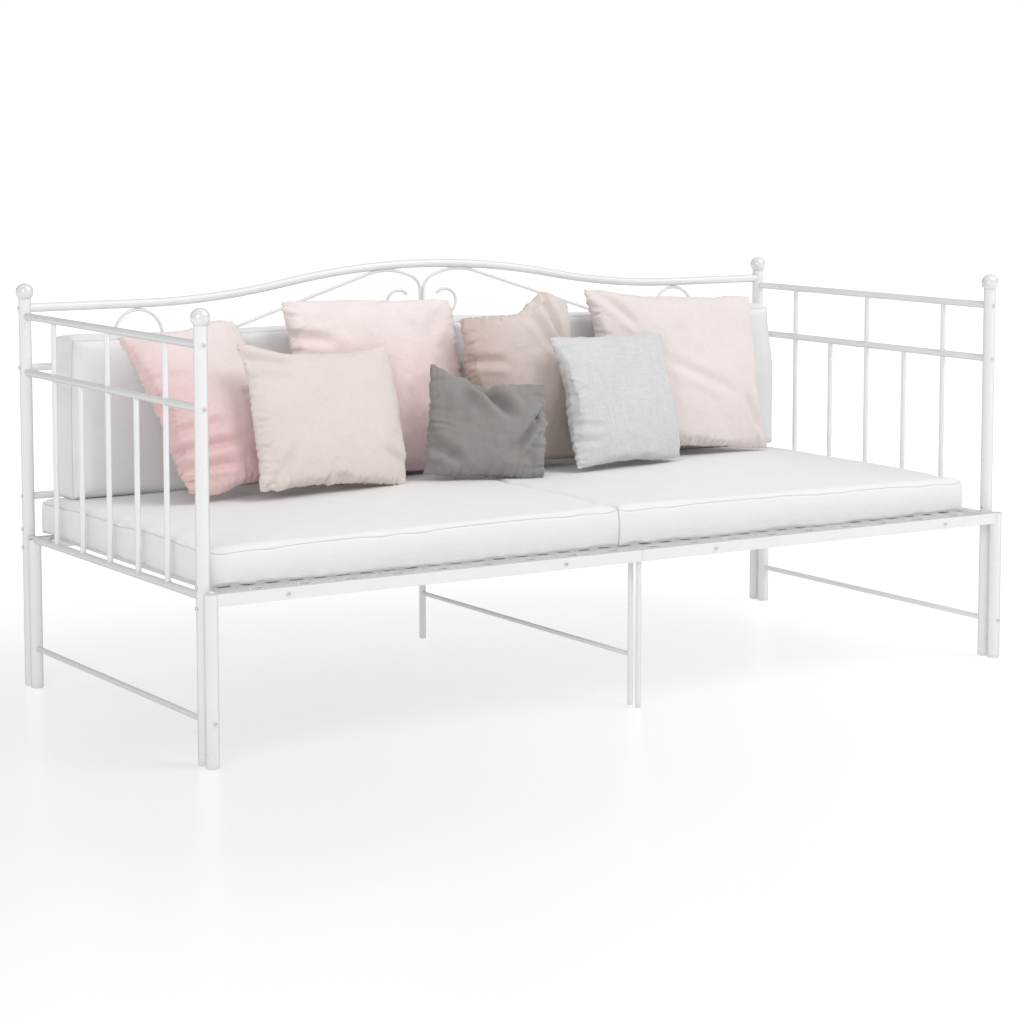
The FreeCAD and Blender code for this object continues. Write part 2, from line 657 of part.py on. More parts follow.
def pillow(place, width, height, thickness, turn, lean, tilt):
    """Pillow as a many-sided lens: widest at its seam, flatter towards its two faces."""
    wires = []
    for offset, scale in PILLOW_SECTIONS:
        y = offset * thickness
        x = width / 2 * scale
        z = height / 2 * scale
        corners = [Vector(-x, y, -z), Vector(x, y, -z), Vector(x, y, z), Vector(-x, y, z), Vector(-x, y, -z)]
        wires.append(Part.makePolygon(corners))
    solid = Part.makeLoft(wires, True, True)
    turned = FreeCAD.Rotation(UP, turn)
    leaned = FreeCAD.Rotation(Vector(1, 0, 0), -lean)
    tilted = FreeCAD.Rotation(Vector(0, 1, 0), tilt)
    solid.Placement = FreeCAD.Placement(Vector(*place), turned * leaned * tilted)
    return solid


def build_parts():
    parts = posts_and_legs()
    for name, side in SIDES:
        parts[f"rear_pair_leg_{name}"] = rear_pair_leg(side)
        parts[f"arm_top_rail_{name}"] = arm_rail(side, ARM_TOP)
        parts[f"arm_middle_rail_{name}"] = arm_rail(side, ARM_MIDDLE)
        parts[f"arm_bottom_rail_{name}"] = arm_rail(side, ARM_BOTTOM)
        parts[f"arm_spindles_{name}"] = arm_spindles(side)
        parts[f"side_bar_{name}"] = side_bar(side)
        parts[f"back_top_rail_{name}"] = for_side(back_top_rail(), side)
        parts[f"main_scroll_{name}"] = for_side(main_scroll(), side)
        parts[f"pull_out_rail_{name}"] = for_side(pull_out_rail(), side)
        parts[f"pull_out_leg_{name}"] = pull_out_leg(side)
    parts["back_middle_rail"] = back_rail(BACK_MIDDLE)
    parts["back_lower_rail"] = back_rail(BACK_LOWER)
    parts["back_spindles"] = back_spindles()
    parts["heart_scrolls"] = Part.makeCompound([for_side(heart_scroll(), side) for _, side in SIDES])
    parts["scroll_arches"] = Part.makeCompound([for_side(scroll_arch(), side) for _, side in SIDES])
    parts["fixed_front_rail"] = fixed_bed_rail(FRONT_Y)
    parts["fixed_back_rail"] = fixed_bed_rail(BACK_Y)
    parts["fixed_slats"] = fixed_slats()
    parts["middle_leg_front"] = middle_leg(FRONT_Y, FIXED_RAIL_BOTTOM, FRONT_MIDDLE_LEG_DIAMETER)
    parts["middle_leg_back"] = middle_leg(BACK_Y, FIXED_RAIL_BOTTOM, BACK_MIDDLE_LEG_DIAMETER)
    parts["middle_bar"] = middle_bar()
    parts["finials"] = finials()
    parts["fixed_feet"] = fixed_feet()
    parts["tube_connectors"] = tube_connectors()
    parts["frame_bolts"] = frame_bolts()
    parts["pull_out_middle_leg"] = middle_leg(PULL_MIDDLE_LEG_Y, PULL_RAIL_BOTTOM, FRONT_MIDDLE_LEG_DIAMETER)
    parts["pull_out_slats"] = pull_out_slats()
    parts["pull_out_rear_bar"] = pull_out_rear_bar()
    parts["pull_out_caps"] = pull_out_caps()
    parts["pull_out_bolts"] = pull_out_bolts()
    half_gap = CUSHION_GAP / 2
    parts["seat_cushion_left"] = seat_cushion(SEAT_LEFT, SEAT_JOINT - half_gap)
    parts["seat_cushion_right"] = seat_cushion(SEAT_JOINT + half_gap, SEAT_RIGHT)
    parts["back_cushion_left"] = back_cushion(BACK_LEFT, -half_gap)
    parts["back_cushion_right"] = back_cushion(half_gap, BACK_RIGHT)
    for name, place, width, height, thickness, turn, lean, tilt in PILLOWS:
        parts[name] = pillow(place, width, height, thickness, turn, lean, tilt)
    return parts


os.makedirs("parts", exist_ok=True)
for node, shape in build_parts().items():
    shape.exportStep(f"parts/{node}.step")
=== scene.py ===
"""Looks of a white metal daybed with a pull-out base, cushions and throw pillows.

Metres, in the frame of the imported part: +X along the bed, -Y the open front, +Z up.
"""
import json
import math

import bmesh
import bpy
import numpy as np
from mathutils import Matrix, Vector, noise


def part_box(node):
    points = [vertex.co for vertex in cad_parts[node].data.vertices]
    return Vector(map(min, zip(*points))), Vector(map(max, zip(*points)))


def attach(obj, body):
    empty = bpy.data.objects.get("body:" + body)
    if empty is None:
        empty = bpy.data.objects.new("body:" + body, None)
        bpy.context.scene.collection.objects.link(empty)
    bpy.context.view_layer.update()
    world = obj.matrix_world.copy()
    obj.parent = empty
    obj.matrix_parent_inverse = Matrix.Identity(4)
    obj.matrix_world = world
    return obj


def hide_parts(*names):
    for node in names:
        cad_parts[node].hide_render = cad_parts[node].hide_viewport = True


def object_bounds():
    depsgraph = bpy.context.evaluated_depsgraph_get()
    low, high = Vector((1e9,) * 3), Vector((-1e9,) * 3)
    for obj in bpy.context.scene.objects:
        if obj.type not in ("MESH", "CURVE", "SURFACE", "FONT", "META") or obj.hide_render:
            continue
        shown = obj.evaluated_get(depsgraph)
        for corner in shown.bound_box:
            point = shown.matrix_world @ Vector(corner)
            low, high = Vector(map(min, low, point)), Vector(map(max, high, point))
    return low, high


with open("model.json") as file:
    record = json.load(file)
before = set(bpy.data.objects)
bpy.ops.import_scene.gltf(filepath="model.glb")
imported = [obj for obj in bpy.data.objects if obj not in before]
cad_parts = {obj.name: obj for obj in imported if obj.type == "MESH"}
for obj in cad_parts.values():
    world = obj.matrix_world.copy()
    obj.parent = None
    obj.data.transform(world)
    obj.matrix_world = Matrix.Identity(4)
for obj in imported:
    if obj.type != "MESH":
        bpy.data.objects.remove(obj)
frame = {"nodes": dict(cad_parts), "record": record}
CAD_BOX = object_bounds()
FIXED = "frame"
SLOT_OF = {part["node"]: part["material_slot"] for part in frame["record"]["subparts"]}


# Colours

def srgb(red, green, blue):
    """Linear colour from display values of 0 to 255."""
    values = [channel / 255 for channel in (red, green, blue)]
    return [v / 12.92 if v <= 0.04045 else ((v + 0.055) / 1.055) ** 2.4 for v in values]


def shaded(colour, factor):
    """Lighter or darker form of a linear colour, with full opacity."""
    return [min(1.0, channel * factor) for channel in colour] + [1.0]


# Materials

MIX_FIRST, MIX_SECOND, MIX_RESULT = 6, 7, 2     # the Mix node's sockets for colours


class Graph:
    """One material's nodes, with short calls for the ones that are used here."""

    def __init__(self, name):
        self.material = bpy.data.materials.new(name)
        self.material.use_nodes = True
        tree = self.material.node_tree
        self.nodes = tree.nodes
        self.links = tree.links
        self.shader = self.nodes["Principled BSDF"]
        self.position = self.nodes.new("ShaderNodeTexCoord").outputs["Object"]

    def put(self, value, socket):
        """Link a socket to another one, or set its value."""
        if isinstance(value, bpy.types.NodeSocket):
            self.links.new(value, socket)
        else:
            socket.default_value = value

    def scaled(self, stretch):
        """Object coordinates multiplied along each axis."""
        node = self.nodes.new("ShaderNodeMapping")
        self.put(self.position, node.inputs["Vector"])
        node.inputs["Scale"].default_value = stretch
        return node.outputs["Vector"]

    def noise(self, stretch, detail=2.0, distortion=0.0):
        """Noise from about 0 to 1, with stretch features per metre along each axis."""
        node = self.nodes.new("ShaderNodeTexNoise")
        self.put(self.scaled(stretch), node.inputs["Vector"])
        node.inputs["Scale"].default_value = 1.0
        node.inputs["Detail"].default_value = detail
        node.inputs["Distortion"].default_value = distortion
        return node.outputs["Fac"]

    def math(self, operation, first, second=0.0):
        node = self.nodes.new("ShaderNodeMath")
        node.operation = operation
        self.put(first, node.inputs[0])
        self.put(second, node.inputs[1])
        return node.outputs["Value"]

    def fit(self, value, low, high, new_low, new_high):
        """Value moved from one range to another and held inside it."""
        node = self.nodes.new("ShaderNodeMapRange")
        for socket, item in zip(node.inputs, (value, low, high, new_low, new_high)):
            self.put(item, socket)
        return node.outputs["Result"]

    def blend(self, factor, first, second):
        """Colour between two others."""
        node = self.nodes.new("ShaderNodeMix")
        node.data_type = "RGBA"
        self.put(factor, node.inputs["Factor"])
        self.put(first, node.inputs[MIX_FIRST])
        self.put(second, node.inputs[MIX_SECOND])
        return node.outputs[MIX_RESULT]

    def split(self):
        """X, Y and Z of the object coordinates."""
        node = self.nodes.new("ShaderNodeSeparateXYZ")
        self.put(self.position, node.inputs[0])
        return node.outputs

    def along(self, direction):
        """How far a place lies along a direction."""
        node = self.nodes.new("ShaderNodeVectorMath")
        node.operation = "DOT_PRODUCT"
        self.put(self.position, node.inputs[0])
        node.inputs[1].default_value = direction
        return node.outputs["Value"]

    def rim(self, low, high):
        """Mask for painted shade: zero on surfaces that face the eye, one where they turn away from it.
        """
        node = self.nodes.new("ShaderNodeLayerWeight")
        node.inputs["Blend"].default_value = 0.5
        return self.fit(node.outputs["Facing"], low, high, 0.0, 1.0)

    def cloud(self, per_metre, detail):
        """Even patches from 0 to 1."""
        return self.fit(self.noise(evenly(per_metre), detail), 0.3, 0.7, 0.0, 1.0)

    def bump(self, height, strength, distance, under=None):
        """Normal for a relief of that depth in metres, on top of another one."""
        node = self.nodes.new("ShaderNodeBump")
        node.inputs["Strength"].default_value = strength
        node.inputs["Distance"].default_value = distance
        self.put(height, node.inputs["Height"])
        if under is not None:
            self.put(under, node.inputs["Normal"])
        return node.outputs["Normal"]

    def finish(self, colour, roughness, normal):
        """Link the shader's three maps and hand over the material."""
        self.put(colour, self.shader.inputs["Base Color"])
        self.put(roughness, self.shader.inputs["Roughness"])
        self.put(normal, self.shader.inputs["Normal"])
        return self.material


def evenly(count):
    """The same number of features per metre along all three axes."""
    return (count, count, count)


SCUFF_TOP = 0.06            # height above the floor that shoes reach


def powder_coat():
    """White sprayed and baked coat: slight orange peel, uneven gloss, scuffs near the floor.

    Painted shade makes it greyer where a tube turns away from the eye.
    """
    g = Graph("powder_coat")
    white = srgb(239, 239, 239)
    patches = g.cloud(9.0, 3.0)
    peel = g.noise(evenly(900.0), 1.0)
    specks = g.noise(evenly(260.0), 4.0)
    low = g.fit(g.split()[2], 0.0, SCUFF_TOP, 1.0, 0.0)
    scuff = g.math("MULTIPLY", g.fit(specks, 0.56, 0.70, 0.0, 0.55), low)
    plain = g.blend(patches, shaded(white, 0.965), shaded(white, 1.0))
    # painted shade: greyer where the tube turns away from the eye
    painted_rim_shade = g.blend(g.rim(0.35, 0.95), plain, shaded(white, 0.56))
    colour = g.blend(scuff, painted_rim_shade, shaded(white, 0.62))
    roughness = g.math("ADD", g.fit(patches, 0.0, 1.0, 0.26, 0.36), g.math("MULTIPLY", scuff, 0.4))
    g.shader.inputs["Specular IOR Level"].default_value = 0.55
    return g.finish(colour, roughness, g.bump(peel, 0.10, 0.0004))


def moulded_plastic(name, display, roughness, grains, lacquer):
    """Moulded part with a fine spark-eroded grain, under a clear lacquer where that is above zero."""
    g = Graph(name)
    g.shader.inputs["Coat Weight"].default_value = lacquer
    g.shader.inputs["Coat Roughness"].default_value = 0.05
    g.shader.inputs["Coat IOR"].default_value = 1.85
    base = srgb(*display)
    patches = g.cloud(25.0, 2.0)
    grit = g.noise(evenly(grains), 2.0)
    plain = g.blend(patches, shaded(base, 0.96), shaded(base, 1.0))
    # painted shade: darker where the part turns away from the eye
    colour = g.blend(g.rim(0.4, 1.0), plain, shaded(base, 0.66))
    rough = g.fit(patches, 0.0, 1.0, roughness - 0.04, roughness + 0.06)
    return g.finish(colour, rough, g.bump(grit, 0.12, 0.0003))


def zinc(name, display, metallic, roughness):
    """Plated steel with turning marks and slightly uneven plating."""
    g = Graph(name)
    base = srgb(*display)
    patches = g.cloud(180.0, 3.0)
    marks = g.noise((2500.0, 2500.0, 400.0), 1.0)
    colour = g.blend(patches, shaded(base, 0.86), shaded(base, 1.0))
    rough = g.fit(patches, 0.0, 1.0, roughness - 0.06, roughness + 0.10)
    g.shader.inputs["Metallic"].default_value = metallic
    return g.finish(colour, rough, g.bump(marks, 0.15, 0.0002))


TONE = 0.12                 # how far a cover's tone strays from its colour, either way
SLUB_LONG = 14.0            # slubs per metre along a thread
SLUB_FINE = 420.0           # slubs per metre from thread to thread
PATCHES = 11.0              # faint patches per metre
CRUMPLES = 34.0             # soft crumples per metre
CRUMPLE_DEPTH = 0.004


def cloth(name, display, thread, weave, mottle, sheen, slub, crumple, fade):
    """Woven cover: crossing threads, slubs along both of them, faint mottling and soft crumples.

    thread is the distance from one thread to the next, in metres. fade is painted light: the lighter
    tone of the lit side, the direction that it comes in along, and where it starts and is complete.
    """
    g = Graph(name)
    turns = 2 * math.pi / thread
    waves = [g.math("SINE", g.math("MULTIPLY", axis, turns)) for axis in g.split()]
    threads = g.math("ADD", g.math("ADD", waves[0], waves[1]), waves[2])
    fuzz = g.noise(evenly(0.6 / thread), 3.0)
    warp = g.noise((SLUB_LONG, SLUB_FINE, SLUB_FINE), 2.0)
    weft = g.noise((SLUB_FINE, SLUB_FINE, SLUB_LONG), 2.0)
    streak = g.math("ADD", warp, weft)
    patches = g.noise(evenly(PATCHES), 4.0)
    folds = g.noise(evenly(CRUMPLES), 3.0, 1.2)
    mottled = g.fit(patches, 0.25, 0.75, -mottle, mottle)
    tone = g.math("ADD", mottled, g.fit(streak, 0.8, 1.2, -slub, slub))
    tone = g.math("ADD", tone, g.fit(threads, -2.5, 2.5, -0.02, 0.02))
    mix = g.fit(tone, -TONE, TONE, 0.0, 1.0)

    def toned(shown):
        base = srgb(*shown)
        return g.blend(mix, shaded(base, 1 - TONE), shaded(base, 1 + TONE))

    colour = toned(display)
    # painted light: the cover turns to a lighter tone towards its lit side
    if fade is not None:
        second, direction, start, end = fade
        colour = g.blend(g.fit(g.along(direction), start, end, 0.0, 1.0), colour, toned(second))
    soft = g.bump(folds, crumple, CRUMPLE_DEPTH)
    coarse = g.bump(streak, min(1.0, 0.1 + 4 * slub), 0.0008, soft)
    woven = g.bump(threads, weave, thread * 0.25, coarse)
    normal = g.bump(fuzz, 0.25, thread * 0.3, woven)
    g.shader.inputs["Sheen Weight"].default_value = sheen
    g.shader.inputs["Sheen Roughness"].default_value = 0.45
    g.shader.inputs["Specular IOR Level"].default_value = 0.25
    return g.finish(colour, g.fit(patches, 0.25, 0.75, 0.82, 0.95), normal)


# Painted light: the lighter display colour of a pillow's lit side, the direction that it comes in
# along, where it starts and is complete
ROSE_PAINTED_LIGHT = ((239, 227, 225), (0.8, 0.0, 0.6), -0.08, 0.07)
PINK_PAINTED_LIGHT = ((242, 230, 228), (0.0, 0.0, 1.0), 0.00, 0.18)
SAND_PAINTED_LIGHT = ((226, 214, 208), (1.0, 0.0, 0.3), -0.10, 0.08)

# Name, display colour, thread spacing, and then how strong these are: weave, mottling, sheen,
# slubs, crumples; and the painted light on the lit side
COVERS = {
    "cushion_cover": ("white_cotton", (237, 237, 237), 0.0008, 0.20, 0.006, 0.05, 0.005, 0.10, None),
    # the welt's greyer cotton is painted shade along the seams
    "welt": ("welt_painted_shade", (214, 214, 214), 0.0006, 0.20, 0.010, 0.05, 0.0, 0.30, None),
    "fabric_rose": ("rose_velvet", (232, 200, 199), 0.0011, 0.30, 0.04, 0.35, 0.015, 0.55, ROSE_PAINTED_LIGHT),
    "fabric_cream": ("cream_cotton", (232, 220, 215), 0.0010, 0.35, 0.02, 0.15, 0.012, 0.50, None),
    "fabric_pale_pink": ("pale_pink_cotton", (240, 219, 218), 0.0010, 0.30, 0.03, 0.25, 0.012, 0.45,
                         PINK_PAINTED_LIGHT),
    "fabric_grey": ("grey_cotton", (150, 146, 143), 0.0012, 0.40, 0.06, 0.30, 0.02, 0.60, None),
    "fabric_sand": ("sand_cotton", (205, 187, 179), 0.0010, 0.35, 0.03, 0.20, 0.015, 0.55, SAND_PAINTED_LIGHT),
    "fabric_grey_linen": ("grey_linen", (222, 222, 222), 0.0016, 0.50, 0.02, 0.10, 0.055, 0.50, None),
    "fabric_blush": ("blush_cotton", (235, 225, 222), 0.0010, 0.35, 0.02, 0.15, 0.012, 0.45, None),
}

MATERIALS = {
    "white_steel": powder_coat(),
    "white_plastic": moulded_plastic("foot_plastic", (232, 232, 233), 0.42, 1500.0, 0.0),
    "finial_plastic": moulded_plastic("ball_plastic", (230, 230, 230), 0.30, 700.0, 1.0),
    "bolt_steel": zinc("bolt_zinc", (234, 234, 235), 0.6, 0.50),
    "connector_steel": zinc("sleeve_zinc", (214, 215, 217), 1.0, 0.32),
}
MATERIALS.update({slot: cloth(*look) for slot, look in COVERS.items()})


def paint(thing, slot):
    """Give an object one of the materials."""
    if not thing.material_slots:
        thing.data.materials.append(MATERIALS[slot])
    for place in thing.material_slots:
        place.material = MATERIALS[slot]


# Meshes

def new_piece(name, mesh):
    """Object from a bmesh, with smooth faces."""
    data = bpy.data.meshes.new(name)
    mesh.normal_update()
    mesh.to_mesh(data)
    mesh.free()
    for polygon in data.polygons:
        polygon.use_smooth = True
    piece = bpy.data.objects.new(name, data)
    bpy.context.scene.collection.objects.link(piece)
    return piece


def points_of(piece):
    """Places of a mesh's points, one row each."""
    flat = np.zeros(len(piece.data.vertices) * 3)
    piece.data.vertices.foreach_get("co", flat)
    return flat.reshape(-1, 3)


def move_points(piece, points):
    piece.data.vertices.foreach_set("co", points.ravel())
    piece.data.update()


def normals_of(piece):
    """Which way the surface faces at a mesh's points, one row each."""
    flat = np.zeros(len(piece.data.vertices) * 3)
    piece.data.vertices.foreach_get("normal", flat)
    return flat.reshape(-1, 3)


def subdivide(piece):
    """One level of subdivision, applied. The first points stay the mesh's old ones."""
    rounded = piece.modifiers.new("Rounded", "SUBSURF")
    rounded.levels = 1
    rounded.render_levels = 1
    apply_modifiers(piece)


def apply_modifiers(piece):
    """Put the evaluated mesh in place of the one that it was made from."""
    seen = bpy.context.evaluated_depsgraph_get()
    data = bpy.data.meshes.new_from_object(piece.evaluated_get(seen))
    piece.modifiers.clear()
    piece.data = data


# Cloth simulation

SIM_FRAMES = 22


def add_cloth(piece, pressure, excess):
    """Cloth under a little pressure, cut larger than its pattern by excess."""
    everywhere = piece.vertex_groups.new(name="all")
    everywhere.add(range(len(piece.data.vertices)), 1.0, "REPLACE")
    modifier = piece.modifiers.new("Cloth", "CLOTH")
    modifier.collision_settings.use_collision = False
    modifier.point_cache.frame_start = 1
    modifier.point_cache.frame_end = SIM_FRAMES
    settings = modifier.settings
    settings.quality = 6
    settings.mass = 0.3
    settings.air_damping = 3
    settings.tension_stiffness = 15
    settings.compression_stiffness = 15
    settings.shear_stiffness = 5
    settings.bending_model = "ANGULAR"
    settings.bending_stiffness = 0.5
    settings.shrink_min = -excess
    settings.shrink_max = -excess
    settings.use_pressure = True
    settings.uniform_pressure_force = pressure
    settings.effector_weights.gravity = 0


def settle(pieces):
    """Run the cloth of all the soft pieces together.

    pieces holds each piece and how far its points may travel along X, Y and Z.
    """
    for step in range(1, SIM_FRAMES + 1):
        bpy.context.scene.frame_set(step)
    for piece, most in pieces:
        before = points_of(piece)
        apply_modifiers(piece)
        travel = points_of(piece) - before
        move_points(piece, before + np.clip(travel, -np.array(most), most))
    bpy.context.scene.frame_set(1)


# Throw pillows, each made about its own middle: X across, Z up, and its front towards -Y

PILLOW_CELL = 0.0060
PILLOW_START = 0.84         # thickness before the pillow swells, as a share of the CAD solid's
PILLOW_PRESSURE = 2.0
PILLOW_EXCESS = 0.02        # how much larger the cloth is than the pattern
PILLOW_TRAVEL = (0.010, 0.010, 0.010)
KNIFE = 2.1                 # how soon the two faces close towards the seam
KNIFE_SOFT = 0.56           # below one, a fuller edge
SAG = 0.16                  # how much fuller a pillow is at its bottom than at its middle
CORNER = 0.012              # how far the corners are rounded off
CORNER_REACH = 8            # the higher, the nearer to a corner its rounding starts


def pillow_axes(node):
    """Middle, width, height, thickness and turn of a pillow's CAD solid, from its seam's corners."""
    points = {tuple(round(c, 5) for c in v.co) for v in frame["nodes"][node].data.vertices}
    points = [Vector(p) for p in points]
    low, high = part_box(node)
    middle = (low + high) / 2
    corners = sorted(points, key=lambda p: (p - middle).length)[-4:]
    corners.sort(key=lambda p: p.z)
    lower = sorted(corners[:2], key=lambda p: p.x)
    upper = sorted(corners[2:], key=lambda p: p.x)
    across = (lower[1] + upper[1] - lower[0] - upper[0]) / 2
    rise = (upper[0] + upper[1] - lower[0] - lower[1]) / 2
    into = rise.cross(across).normalized()
    thick = 2 * max(abs((p - middle).dot(into)) for p in points)
    turn = Matrix((across.normalized(), into, rise.normalized())).transposed().to_4x4()
    return Matrix.Translation(middle) @ turn, across.length, rise.length, thick


def envelope(name, width, height, thick, look):
    """Two faces sewn along a knife edge, with sides that pull in or bow out between the corners."""
    side_pull, top_pull = look["pull"]
    counts = [round(size / PILLOW_CELL) for size in (width, height)]
    mesh = bmesh.new()
    sheets = []
    marks = []
    for side in (-1, 1):
        sheet = {}
        for i in range(counts[0] + 1):
            for k in range(counts[1] + 1):
                u = 2 * i / counts[0] - 1
                v = 2 * k / counts[1] - 1
                seam = i in (0, counts[0]) or k in (0, counts[1])
                if seam and side == 1:
                    sheet[i, k] = sheets[0][i, k]
                    continue
                fall = max(0.0, (1 - abs(u) ** KNIFE) * (1 - abs(v) ** KNIFE)) ** KNIFE_SOFT
                sag = 1 - SAG * v
                blunt = 1 - CORNER * (u * v) ** CORNER_REACH
                x = width / 2 * u * blunt * (1 - side_pull * (1 - v * v))
                x += look["flare"][u > 0] * abs(u) * (1 - max(v, 0.0))
                z = height / 2 * v * blunt * (1 - (top_pull if v > 0 else 0.0) * (1 - u * u))
                sheet[i, k] = mesh.verts.new((x, side * thick / 2 * fall * sag, z))
                marks.append((u, v, 0 if seam else side))
        sheets.append(sheet)
        for i in range(counts[0]):
            for k in range(counts[1]):
                square = [sheet[i, k], sheet[i + 1, k], sheet[i + 1, k + 1], sheet[i, k + 1]]
                mesh.faces.new(square if side < 0 else square[::-1])
    piece = new_piece(name, mesh)
    for index, label in enumerate(("across", "up", "side")):
        layer = piece.data.attributes.new(label, "FLOAT", "POINT")
        layer.data.foreach_set("value", [mark[index] for mark in marks])
    return piece


def mark_of(piece, label):
    """Where a pillow's points lie over it, from -1 to 1, or which face they are on."""
    values = np.zeros(len(piece.data.vertices))
    piece.data.attributes[label].data.foreach_get("value", values)
    return values


def smooth_step(value):
    """Zero below 0, one above 1, and a smooth rise between."""
    value = np.clip(value, 0.0, 1.0)
    return value * value * (3 - 2 * value)


def towards_rim(value, start):
    """Zero up to start, and a smooth rise from there to one at 1."""
    return smooth_step((value - start) / (1 - start))


def grain(first, second, third):
    """Noise from about -1 to 1 at many places."""
    return np.array([noise.noise(Vector(place)) for place in zip(first, second, third)])


def relief(off, waves):
    """Sum of smooth waves, each with a height and the place where it stands."""
    return sum(height * np.exp(-(off - place) ** 2) for height, place in waves)


PUCKER_REACH = (0.35, 1.35)             # shares of the look's reach
PUCKER_WIDTH = (0.0027, 0.0050)
PUCKER_DEPTH = (0.49, 1.40)             # shares of the look's depth
PUCKER_LEAN = 0.45
PUCKER_BEND = 5.0
PUCKER_WAVES = ((1.0, 0.0), (-0.45, 1.9), (-0.45, -1.9))     # height, and place in widths
SEAM_ALLOWANCE = 0.012                  # the turned-in edge keeps puckers shallow near the seam
SEAM_DEPTH = 0.3                        # how deep a pucker is at the seam itself


def puckers(u, v, side, width, height, look):
    """Short furrows with soft shoulders that run in from the seams, deepest just inside them."""
    total = np.zeros(len(u))
    edges = (
        ((1 + u) * width / 2, v * height / 2, height),
        ((1 - u) * width / 2, v * height / 2, height),
        ((1 + v) * height / 2, u * width / 2, width),
        ((1 - v) * height / 2, u * width / 2, width),
    )
    random = np.random.default_rng(look["seed"])
    for (inward, along, span), depth in zip(edges, look["puckers"]):
        for face in (-1, 1):
            count = int(span / look["pitch"])
            starts = (np.arange(count) + random.uniform(0.1, 0.9, count)) / count * span - span / 2
            for start in starts:
                reach = look["reach"] * random.uniform(*PUCKER_REACH)
                wide = random.uniform(*PUCKER_WIDTH)
                deep = depth * random.uniform(*PUCKER_DEPTH)
                lean = random.uniform(-PUCKER_LEAN, PUCKER_LEAN)
                bend = random.uniform(-PUCKER_BEND, PUCKER_BEND)
                beside = np.abs(along - start) < reach + 4 * wide
                near = (inward < reach) & (side * face >= 0) & beside
                far = inward[near]
                off = (along[near] - start - lean * far - bend * far ** 2) / wide
                fade = (1 - far / reach) ** 1.5
                fade *= SEAM_DEPTH + (1 - SEAM_DEPTH) * smooth_step(far / SEAM_ALLOWANCE)
                total[near] -= deep * fade * relief(off, PUCKER_WAVES)
    return total


CREASE_WAVES = ((1.65, 0.0), (-0.825, 1.7), (-0.60, -1.8))   # height, and place in widths


def crease(u, v, width, height, start, end, wide, deep):
    """Valley with soft shoulders along a line on the front face, fading towards its ends."""
    ax, az = start[0] * width / 2, start[1] * height / 2
    bx, bz = end[0] * width / 2, end[1] * height / 2
    dx, dz = bx - ax, bz - az
    run = math.hypot(dx, dz)
    px, pz = u * width / 2 - ax, v * height / 2 - az
    along = (px * dx + pz * dz) / run ** 2
    off = (px * dz - pz * dx) / run / wide
    fade = smooth_step(along * 4 + 0.6) * smooth_step((1 - along) * 2.2)
    return deep * fade * relief(off, CREASE_WAVES)


# What a pillow is like where its own look says nothing else. Places run from -1 to 1 over it.
# pull: how far the sides and the top pull in. flare: how far the left and the right side lie
# towards +X below the top. puckers: how deep at left, right, bottom and top; pitch and reach are
# theirs. creases: start, end, width, depth. lifts: where along the top edge, how wide, how far
# up. tugs: a corner, and how far it is drawn out along X and Z.
PLAIN = {
    "pull": (0.022, 0.022), "flare": (0.0, 0.0), "puckers": (0.0, 0.0, 0.0, 0.0), "pitch": 0.014,
    "reach": 0.045, "fill": 0.6, "rumple": 0.0026, "creases": (), "lifts": (), "tugs": (), "seed": 0,
}

